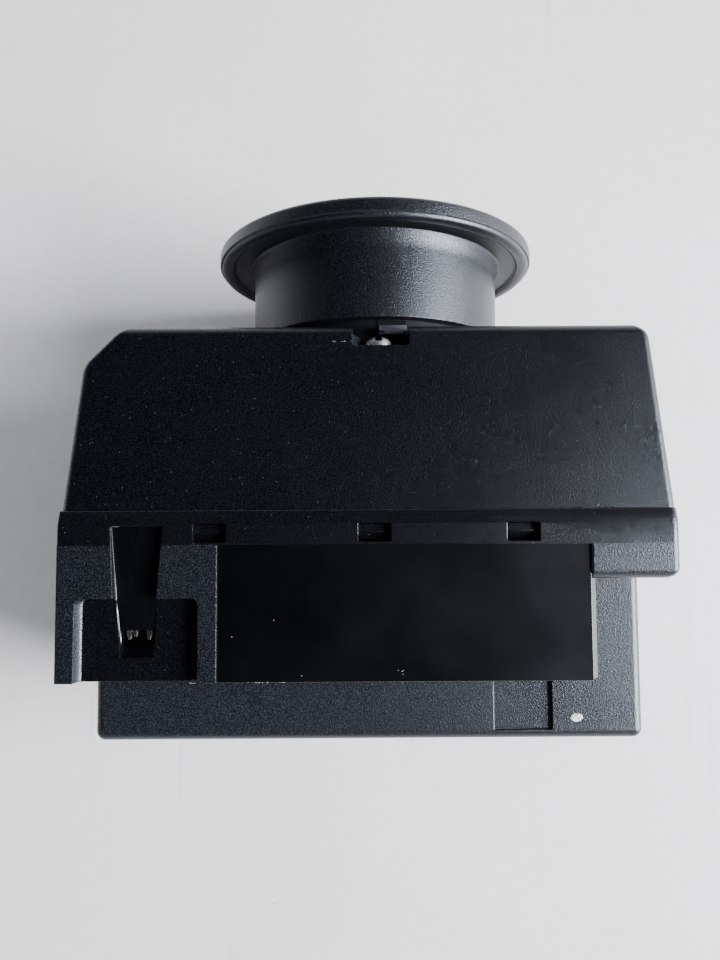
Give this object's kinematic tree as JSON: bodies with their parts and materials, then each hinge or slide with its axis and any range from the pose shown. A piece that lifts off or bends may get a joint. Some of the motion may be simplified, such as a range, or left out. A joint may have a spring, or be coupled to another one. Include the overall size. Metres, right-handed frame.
{
  "type": "electronic ignition switch",
  "caption": "Black electronic ignition switch module with a round key-slot collar, a tapered clipped housing and two rear connector sockets.",
  "frame": {"origin": "middle of the bottom of the bounding box, on the back face that the module lies on", "axes": "+X across the module, to the right seen from the collar's upper side; +Y from the connector sockets to the key-slot collar, parallel with the collar's axis; +Z from the face it lies on to the face with the label plate and latch window"},
  "size_m": [0.077, 0.0728, 0.051],
  "materials": {
    "shell_black": "spark-eroded grain",
    "housing_black": "fine moulded grain",
    "plate_black": "smooth printed film",
    "collar_black": "fine moulded grain",
    "sleeve_grey": "smooth moulded",
    "frame_grey": "smooth moulded",
    "rotor_black": "smooth moulded",
    "face_black": "polished",
    "pusher_grey": "smooth moulded",
    "zinc_steel": "bright zinc plate",
    "spring_steel": "drawn wire",
    "cam_metal": "die cast",
    "copper_wire": "enamelled wire",
    "contact_tin": "tin plate",
    "board_green": "solder mask",
    "chip_black": "moulded epoxy",
    "relay_black": "smooth moulded",
    "can_sleeve": "drawn can",
    "ferrite_grey": "pressed ferrite",
    "ir_resin": "cast resin",
    "header_black": "glass-filled",
    "switch_black": "smooth moulded",
    "switch_red": "smooth moulded",
    "white_paint": "brushed dot"
  },
  "bodies": {
    "housing": {"front_shell": "shell_black", "rear_housing": "housing_black", "label_plate": "plate_black", "paint_dot": "white_paint", "collar_ring": "collar_black", "lock_sleeve": "sleeve_grey", "collar_screws": "zinc_steel", "lock_frame": "frame_grey", "frame_screws": "zinc_steel", "return_spring": "spring_steel", "antenna_coil": "copper_wire", "solenoid_frame": "zinc_steel", "solenoid_coil": "copper_wire", "plunger_spring": "spring_steel", "detent_spring": "spring_steel", "position_switch": "switch_black", "circuit_board": "board_green", "board_screws": "zinc_steel", "microcontroller": "chip_black", "ir_emitter": "ir_resin", "relays": "relay_black", "capacitors": "can_sleeve", "power_inductor": "ferrite_grey", "driver_transistors": "chip_black", "small_header": "header_black", "small_pins": "contact_tin", "large_header": "header_black", "large_pins": "contact_tin", "power_blades": "contact_tin"},
    "rotor": {"rotor": "rotor_black", "rotor_face": "face_black", "rotor_cam": "cam_metal", "rotor_circlip": "spring_steel", "pusher_spring": "spring_steel"},
    "pusher": {"key_pusher": "pusher_grey"},
    "lock_plunger": {"lock_plunger": "zinc_steel"},
    "detent_plunger": {"detent_plunger": "zinc_steel"},
    "switch_plunger": {"switch_plunger": "switch_red"}
  },
  "joints": [
    {"name": "rotor_turn", "type": "hinge", "parent": "housing", "child": "rotor", "pos_m": [0.0015, 0, 0.0255], "axis": [0, 1, 0], "range_deg": [0, 90], "deforming": ["return_spring"]},
    {"name": "key_push", "type": "slide", "parent": "rotor", "child": "pusher", "axis": [0, -1, 0], "range_m": [0, 0.006], "stiffness_N_per_m": 120, "springref_m": -0.003, "deforming": ["pusher_spring"]},
    {"name": "lock_slide", "type": "slide", "parent": "housing", "child": "lock_plunger", "axis": [-1, 0, 0], "range_m": [0, 0.0025], "stiffness_N_per_m": 60, "springref_m": -0.001, "deforming": ["plunger_spring"]},
    {"name": "detent_slide", "type": "slide", "parent": "housing", "child": "detent_plunger", "axis": [1, 0, 0], "range_m": [0, 0.0009], "stiffness_N_per_m": 100, "springref_m": 0.002, "deforming": ["detent_spring"]},
    {"name": "switch_press", "type": "slide", "parent": "housing", "child": "switch_plunger", "axis": [-0.7071, 0, 0.7071], "range_m": [0, 0.0008], "stiffness_N_per_m": 30, "springref_m": 0.0015}
  ]
}
